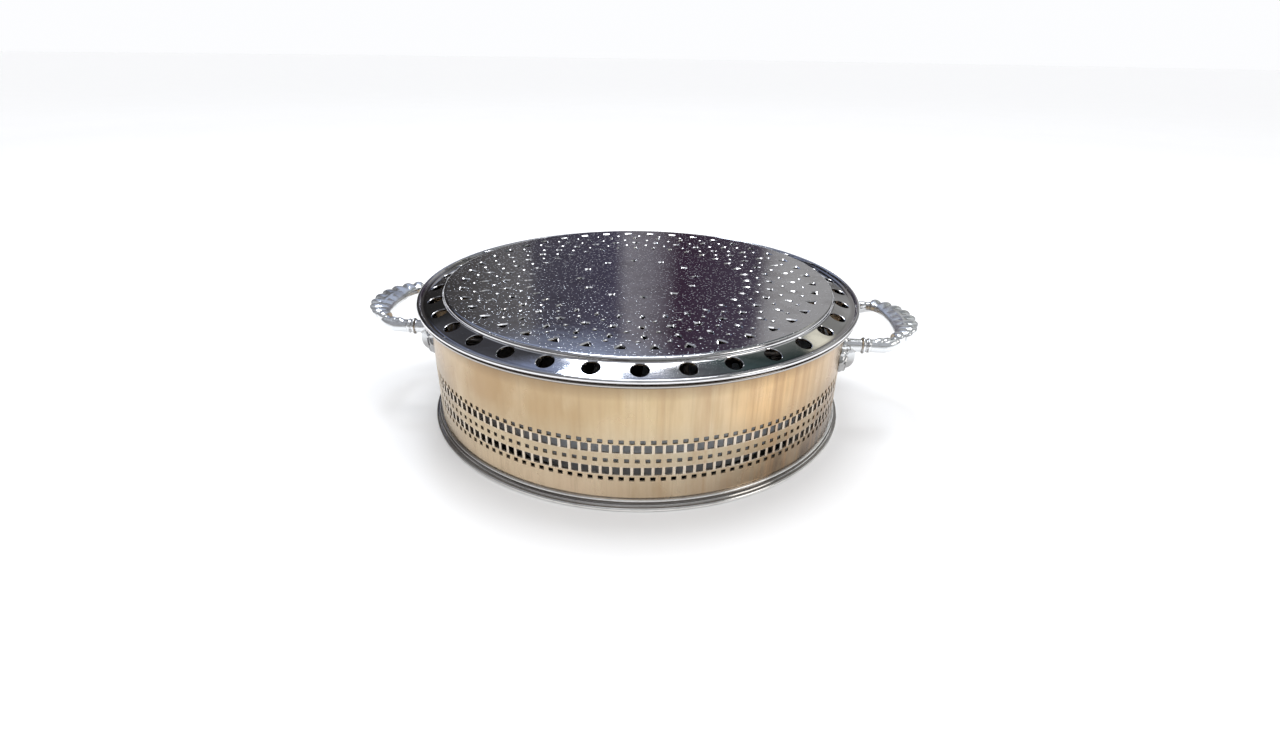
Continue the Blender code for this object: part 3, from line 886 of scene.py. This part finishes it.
def add_leaf_mount(bm, angle):
    """Acanthus leaf that carries an arm and spreads down the wall, with a rib on each lobe."""
    lobes = ((0.0, 18.0, 4.0), (24.0, 16.0, 3.2), (-24.0, 16.0, 3.2), (48.0, 13.0, 3.0),
             (-48.0, 13.0, 3.0), (82.0, 9.0, 2.8), (-82.0, 9.0, 2.8), (125.0, 7.5, 2.8),
             (-125.0, 7.5, 2.8), (180.0, 8.5, 3.4))
    middle = radial(WALL_RADIUS, angle, PAD_HEIGHT + 3.5 * MM)
    lean = turned(radians(-18), "Y")
    add_egg(bm, (7.6 * MM, 5.6 * MM, 11 * MM),
            middle @ moved(1.2 * MM, 0, -3 * MM) @ lean, 20, 12)
    for turn, length, width in lobes:
        swing = radians(turn)
        half = length * MM / 2
        offset = Vector((0.0, half * sin(swing), -half * cos(swing)))
        matrix = middle @ moved(*offset) @ turned(swing, "X")
        add_egg(bm, (4 * MM, width * MM, half * 1.02), matrix)
        rib = middle @ moved(*(offset + Vector((3.2 * MM, 0, 0)))) @ turned(swing, "X")
        add_egg(bm, (1.8 * MM, 0.9 * MM, half * 0.86), rib, 10, 8)


def make_handle(name, side):
    bm = bmesh.new()
    path = bow_path()
    radii = [(4.4 - 1.2 * min(1.0, max(0.0, (point.x - 166 * MM) / (12 * MM)))) * MM
             for point in path]
    add_bar(bm, path, radii)
    add_shell(bm)
    add_collars(bm)
    lean = asin(ARM_SPREAD / WALL_RADIUS)
    add_leaf_mount(bm, -lean)
    add_leaf_mount(bm, lean)
    handle = new_piece(name, bm)
    cast_whole(handle, (0.42) * MM)
    soften = handle.modifiers.new("Soften", "SMOOTH")
    soften.factor = 0.5
    soften.iterations = 2
    apply_modifiers(handle)
    mesh = handle.data
    coords = read_array(mesh.vertices, "co", 3)
    radius = np.hypot(coords[:, 0], coords[:, 1])
    back = WALL_RADIUS + GAP
    scale = np.where(radius < back, back / radius, 1.0)
    coords[:, :2] *= scale[:, None]
    coords[:, 2] = np.clip(coords[:, 2], HANDLE_LOW.z, HANDLE_HIGH.z)
    coords[:, 0] = np.minimum(coords[:, 0], HANDLE_HIGH.x)
    if side < 0:
        coords[:, :2] *= -1
    mesh.vertices.foreach_set("co", coords.ravel())
    mesh.update()
    mesh.shade_smooth()
    return handle


# ---- inside

def make_bowl():
    """Deep spun pan with a flange, and rings of air holes in its floor."""
    floor, top = BOWL_LOW.z, BOWL_HIGH.z
    flange = BOWL_HIGH.x
    edge = SHEET / 2
    middle = 20 * MM
    profile = filleted([(middle, floor + SHEET), (122.6 * MM, floor + SHEET, 1.6 * MM),
                        (126.3 * MM, top, 1 * MM), (flange - edge, top)], 6) \
        + arc(flange - edge, top - edge, edge, 90, -90, 8)[1:] \
        + filleted([(flange - edge, top - SHEET), (127.6 * MM, top - SHEET, 0.8 * MM),
                    (123.75 * MM, floor, 2.2 * MM), (middle, floor)], 6)[1:]
    bowl = lathe("bowl_spun", profile, 192, closed=False)
    bm = bmesh.new()
    for circle, count in ((72 * MM, 12), (36 * MM, 6)):
        for number in range(count):
            add_cylinder(bm, 4 * MM, 8 * MM, radial(circle, tau * number / count, floor), 32)
    boolean(bowl, new_piece("bowl_holes", bm))
    lathe_normals(bowl, profile, False)
    return bowl


def make_grate():
    low, high = GRATE_LOW.z, GRATE_HIGH.z
    reach = GRATE_HIGH.x
    edge = (high - low) / 2
    profile = [(reach - 6 * MM, high)] + arc(reach - edge, high - edge, edge, 90, -90, 8) \
        + [(reach - 6 * MM, low)]
    grate = lathe("grate_slotted", profile, 144, closed=False)
    bm = bmesh.new()
    for index in range(-6, 6):
        x = (index + 0.5) * SLOT_PITCH
        half = sqrt((reach - 10 * MM) ** 2 - x * x)
        rib = 3.5 * MM
        for side in (-1, 1):
            middle = Vector((x, side * (half + rib) / 2, low))
            straight = (half - rib) / 2 - SLOT_HALF
            outline = [(SLOT_HALF * cos(a), copysign(straight, sin(a)) + SLOT_HALF * sin(a))
                       for a in (tau * (k + 0.5) / 16 for k in range(16))]
            add_plug(bm, [[bm.verts.new(middle + Vector((x, y, z))) for x, y in outline]
                          for z in (5 * MM, -5 * MM)])
    side = acos(5 * SLOT_PITCH / LEG_CIRCLE)
    for angle in (side, pi - side, -pi / 2):
        add_cylinder(bm, 1.8 * MM, 8 * MM, radial(LEG_CIRCLE, angle, low), 24)
    boolean(grate, new_piece("grate_slots", bm))
    shade(grate, 40)
    return grate


def make_grid():
    """Ring and rods of round wire, with a weld bead where each rod meets the ring."""
    height = GRID_LOW.z + WIRE_RADIUS
    reach = GRID_HIGH.x - WIRE_RADIUS
    grid = lathe("grid_wires", arc(reach, height, WIRE_RADIUS, 0, -337.5, 15), 192)
    bm = bmesh.new()
    along_y = turned(pi / 2, "X")
    for index in range(-6, 7):
        x = index * ROD_PITCH
        half = sqrt(reach ** 2 - x * x)
        middle = moved(x, 0.0, height)
        add_cylinder(bm, ROD_RADIUS, 2 * half, middle @ along_y, 16)
        for side in (-1, 1):
            spot = moved(x, side * (half - 1.6 * MM), height)
            add_egg(bm, (2.2 * MM, 2.4 * MM, 1.75 * MM), spot)
    boolean(grid, new_piece("grid_rods", bm), "UNION")
    bm = bmesh.new()
    along_x = turned(pi / 2, "Y")
    for y in (-BRACE_LINE, BRACE_LINE):
        half = sqrt(reach ** 2 - y * y)
        middle = moved(0.0, y, height + 1.7 * MM)
        add_cylinder(bm, ROD_RADIUS, 2 * half, middle @ along_x, 16)
    boolean(grid, new_piece("grid_braces", bm), "UNION")
    shade(grid, 40)
    return grid


# ---- small pieces

def bearing_of(low, high):
    """Angle about Z of the middle of a box."""
    centre = (low + high) / 2
    return atan2(centre.y, centre.x)


def make_base():
    """Sunk plate with a rolled step and two pressed stiffening rings."""
    low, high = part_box("base_plate")
    reach = high.x
    rings = []
    for radius in (50 * MM, 90 * MM):
        rings += [(radius - 2 * MM, 0.0), (radius, 0.7 * MM), (radius + 2 * MM, 0.0)]
    middle = low.z + SHEET
    edge = [(122.4 * MM, middle, 1.4 * MM), (126.2 * MM, high.z, 1.4 * MM)]
    top = [(5 * MM, middle, 0.0)] + [(r, middle + rise, 1.2 * MM) for r, rise in rings] \
        + edge + [(reach, high.z, 0.0)]
    under = [(r, z - SHEET, fillet) for r, z, fillet in reversed(top)]
    profile = filleted(top + under, 4)
    base = lathe("base_sunk", profile, 192, closed=False)
    lathe_normals(base, profile, False)
    return base


def make_leg(number):
    """Turned foot with a waist, riveted through the grate."""
    low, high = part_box(f"grate_leg_{number}")
    foot = (high.x - low.x) / 2
    deck = GRATE_LOW.z - GAP
    lift = deck - low.z
    profile = filleted([(0.2 * MM, high.z), (1.7 * MM, high.z - 0.1 * MM, 0.4 * MM),
                        (2.75 * MM, high.z - 1.1 * MM, 0.3 * MM), (1.5 * MM, high.z - 1.2 * MM),
                        (1.5 * MM, deck), (foot, deck, 0.5 * MM),
                        (foot, deck - 1.4 * MM, 0.5 * MM), (2.3 * MM, deck - 3.2 * MM, 1.5 * MM),
                        (2.3 * MM, low.z + 0.3 * lift, 1.5 * MM), (foot, low.z + 1.6 * MM, 0.6 * MM),
                        (foot, low.z, 0.5 * MM), (0.2 * MM, low.z)], 4)
    leg = lathe(f"leg_turned_{number}", profile, 32, closed=False)
    shade(leg, 40)
    middle = (low + high) / 2
    leg.data.transform(moved(middle.x, middle.y, 0.0))
    return leg


def make_screw(number):
    """Domed screw with a cross slot, whose shank reaches into the handle's pad."""
    angle = bearing_of(*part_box(f"handle_screw_{number}"))
    head, shank = 4 * MM, 1.5 * MM
    seat = WALL_RADIUS - SHEET - GAP - 0.1 * MM
    tip = WALL_RADIUS + 2.6 * MM
    dome = [(0.3 * MM, seat - 1.75 * MM), (2.2 * MM, seat - 1.65 * MM, 0.8 * MM),
            (3.5 * MM, seat - 1.1 * MM, 0.6 * MM), (head, seat - 0.4 * MM, 0.3 * MM),
            (head, seat), (shank, seat)]
    threads = []
    for turn in range(4):
        start = seat + 0.5 * MM + turn * 0.7 * MM
        threads += [(shank - 0.2 * MM, start), (shank, start + 0.35 * MM)]
    profile = filleted(dome + threads + [(shank - 0.3 * MM, tip), (0.3 * MM, tip)], 4)
    screw = lathe(f"screw_domed_{number}", list(reversed(profile)), 32, closed=False)
    bm = bmesh.new()
    for stretch in ((1 * MM, 5 * MM, 1.4 * MM), (5 * MM, 1 * MM, 1.4 * MM)):
        bmesh.ops.create_cube(bm, size=1.0, matrix=moved(0, 0, seat - 1.9 * MM)
                              @ Matrix.Diagonal((*stretch, 1.0)))
    slot = new_piece("screw_slot", bm)
    cast_whole(slot, 0.15 * MM)
    apply_modifiers(slot)
    boolean(screw, slot)
    shade(screw, 35)
    screw.data.transform(turned(angle, "Z") @ moved(0, 0, PAD_HEIGHT) @ turned(pi / 2, "Y"))
    return screw


def bent_strip(name, outline, width, matrix):
    """Strip of sheet whose section is an outline of (radius, height), with eased edges."""
    bm = bmesh.new()
    sides = [[bm.verts.new((x, y, z)) for x, z in outline] for y in (-width / 2, width / 2)]
    near, far = sides
    bridge(bm, near, far)
    bm.faces.new(near[::-1])
    bm.faces.new(far)
    bmesh.ops.recalc_face_normals(bm, faces=bm.faces)
    strip = new_piece(name, bm)
    ease = strip.modifiers.new("Eased", "BEVEL")
    ease.width = 0.3 * MM
    ease.segments = 3
    ease.angle_limit = radians(30)
    apply_modifiers(strip)
    shade(strip, 40)
    strip.data.transform(matrix)
    return strip


def make_lug(number):
    """Bent bracket with a rounded corner, soldered inside the wall."""
    low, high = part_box(f"bowl_lug_{number}")
    inner, outer, leaf = 128.5 * MM, 140.5 * MM, 1.5 * MM
    corners = [(outer, low.z), (outer, high.z, 2.2 * MM), (inner, high.z),
               (inner, high.z - leaf), (outer - leaf, high.z - leaf, 0.9 * MM),
               (outer - leaf, low.z)]
    return bent_strip(f"lug_bent_{number}", filleted(corners, 5), 16 * MM,
                      turned(bearing_of(low, high), "Z"))


def make_tab(number):
    """Small plate under the lid, with its foot turned in to guide the lid down."""
    low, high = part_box(f"lid_tab_{number}")
    centre = (low + high) / 2
    middle, half, toe = hypot(centre.x, centre.y), 0.6 * MM, 0.5 * MM
    corners = [(middle - half, high.z), (middle - half, low.z + 1.6 * MM, 0.5 * MM),
               (middle - half, low.z, 0.3 * MM), (middle + half - toe, low.z, 0.3 * MM),
               (middle + half, low.z + 1.8 * MM, 0.8 * MM), (middle + half, high.z)]
    return bent_strip(f"tab_turned_{number}", filleted(corners, 4), 7.9 * MM,
                      turned(bearing_of(low, high), "Z"))


# ---- studio

def make_camera():
    """Camera as in the photograph: where it stands, where it looks and how it is rolled."""
    azimuth, elevation, distance = radians(4.4), radians(28.03), 0.4897
    heading, tilt, roll = radians(-4.15), radians(26.58), radians(0.86)
    data = bpy.data.cameras.new("camera")
    data.sensor_width = 36.0
    data.lens = 18.0
    data.clip_start = 0.01
    camera = bpy.data.objects.new("camera", data)
    bpy.context.scene.collection.objects.link(camera)
    place_at = distance * Vector((sin(azimuth) * cos(elevation), -cos(azimuth) * cos(elevation),
                                  sin(elevation)))
    forward = Vector((sin(heading) * cos(tilt), cos(heading) * cos(tilt), -sin(tilt)))
    right = Vector((cos(heading), -sin(heading), 0.0))
    up = right.cross(forward)
    turn = Matrix((right, up, -forward)).transposed().to_4x4()
    camera.matrix_world = moved(*place_at) @ turn @ turned(roll, "Z")
    bpy.context.scene.camera = camera


def make_floor():
    bm = bmesh.new()
    bmesh.ops.create_circle(bm, cap_ends=True, segments=96, radius=30.0)
    floor = new_piece("floor", bm)
    material, tree, shader = start_material("floor_paint", 0.0)
    tone = noise(tree, (6, 6, 6), 4.0, 0.5)
    link(tree, mix_colour(tree, tone, (0.95, 0.95, 0.95), (0.98, 0.98, 0.98)),
         shader.inputs["Base Color"])
    shader.inputs["Roughness"].default_value = 0.7
    shader.inputs["Specular IOR Level"].default_value = 0.2
    dress(floor, material)


def close_to(tree, value, middle, outer, inner):
    """One within inner of middle, fading to nothing at outer."""
    away = add_maths(tree, "ABSOLUTE", add_maths(tree, "SUBTRACT", value, middle))
    return remap(tree, away, outer, inner)


def make_room():
    """A dim room over the table, seen only in the silver."""
    bm = bmesh.new()
    bmesh.ops.create_uvsphere(bm, u_segments=96, v_segments=48, radius=ROOM_RADIUS)
    bmesh.ops.delete(bm, geom=[v for v in bm.verts if v.co.z < 0.01], context="VERTS")
    room = new_piece("studio_room", bm)
    material, tree, _ = start_material("room_tones", 0.0)
    tree.nodes.clear()
    output = add_node(tree, "ShaderNodeOutputMaterial")
    glow = add_node(tree, "ShaderNodeEmission")
    turn = add_maths(tree, "ARCTAN2", axis_value(tree, "X"), axis_value(tree, "Y"))
    bearing = add_maths(tree, "MULTIPLY", turn, 180 / pi)
    height = add_maths(tree, "DIVIDE", axis_value(tree, "Z"), ROOM_RADIUS)
    rise = add_maths(tree, "ARCSINE", height)
    elevation = add_maths(tree, "MULTIPLY", rise, 180 / pi)
    walls = ramp_node(tree, bearing, ROOM_WALLS, -180, 180)
    ceiling = ramp_node(tree, bearing, ROOM_CEILING, -180, 180)
    low = mix_colour(tree, remap(tree, elevation, 1.0, 17.0), (0.04, 0.037, 0.037), walls)
    cornice = add_maths(tree, "SUBTRACT", elevation, remap(tree, bearing, -9.0, 1.0, 0.0, 3.5))
    middle = mix_colour(tree, remap(tree, cornice, 25.2, 28.4), low, ceiling)
    lamp_side = close_to(tree, bearing, 33.5, 6.5, 2.5)
    lamp_rise = close_to(tree, elevation, 34.0, 5.2, 2.2)
    lamp = mix_colour(tree, add_maths(tree, "MULTIPLY", lamp_side, lamp_rise), middle,
                      (0.78, 0.75, 0.62))
    top = mix_colour(tree, remap(tree, elevation, 70.0, 80.0), lamp, (1.25, 1.27, 1.32))
    link(tree, top, glow.inputs["Color"])
    link(tree, glow.outputs["Emission"], output.inputs["Surface"])
    dress(room, material)
    room.visible_camera = False
    room.visible_diffuse = False
    room.visible_shadow = False


def add_softbox(name, place_at, size, energy, colour):
    data = bpy.data.lights.new(name, "AREA")
    data.shape = "RECTANGLE"
    data.size, data.size_y = size
    data.energy = energy
    data.color = colour
    light = bpy.data.objects.new(name, data)
    bpy.context.scene.collection.objects.link(light)
    light.location = place_at
    light.rotation_euler = (-Vector(place_at)).to_track_quat("-Z", "Y").to_euler()
    light.visible_camera = False


def make_lights():
    world = bpy.data.worlds.new("studio")
    world.use_nodes = True
    background = world.node_tree.nodes["Background"]
    background.inputs["Color"].default_value = (0.98, 0.985, 1.0, 1.0)
    background.inputs["Strength"].default_value = 1.0
    bpy.context.scene.world = world
    add_softbox("top_softbox", (0.0, 0.35, 1.7), (1.0, 0.6), 10.0, (0.95, 0.97, 1.0))
    add_softbox("back_window", (-0.44, 1.09, 2.1), (0.36, 0.32), 5.0, (0.8, 0.89, 1.0))
    add_softbox("side_fill", (1.8, -0.8, 1.2), (0.8, 0.8), 5.0, (1.0, 0.97, 0.93))
    bpy.context.scene.view_settings.view_transform = "Standard"


def build():
    finishes = make_finishes()
    place(make_wall(), "drum", "drum_wall", finishes["wall"])
    place(make_rim(), "drum", "drum_rim", finishes["rim"])
    place(make_foot(), "drum", "foot_ring", finishes["foot"])
    place(make_lid(), "lid", "lid_plate", finishes["lid"])
    place(make_handle("handle_cast_right", 1), "drum", "handle_right", finishes["cast"])
    place(make_handle("handle_cast_left", -1), "drum", "handle_left", finishes["cast"])
    place(make_bowl(), "bowl", "fire_bowl", finishes["bowl"])
    place(make_grate(), "grate", "charcoal_grate", finishes["iron"])
    place(make_grid(), "grid", "cooking_grid", finishes["wire"])
    place(make_base(), "drum", "base_plate", finishes["steel"])
    for number in (1, 2, 3):
        place(make_leg(number), "grate", f"grate_leg_{number}", finishes["iron"])
        place(make_lug(number), "drum", f"bowl_lug_{number}", finishes["steel"])
    for number in (1, 2, 3, 4):
        place(make_screw(number), "drum", f"handle_screw_{number}", finishes["brass"])
        place(make_tab(number), "lid", f"lid_tab_{number}", finishes["trim"])
    make_camera()
    make_floor()
    make_room()
    make_lights()


build()
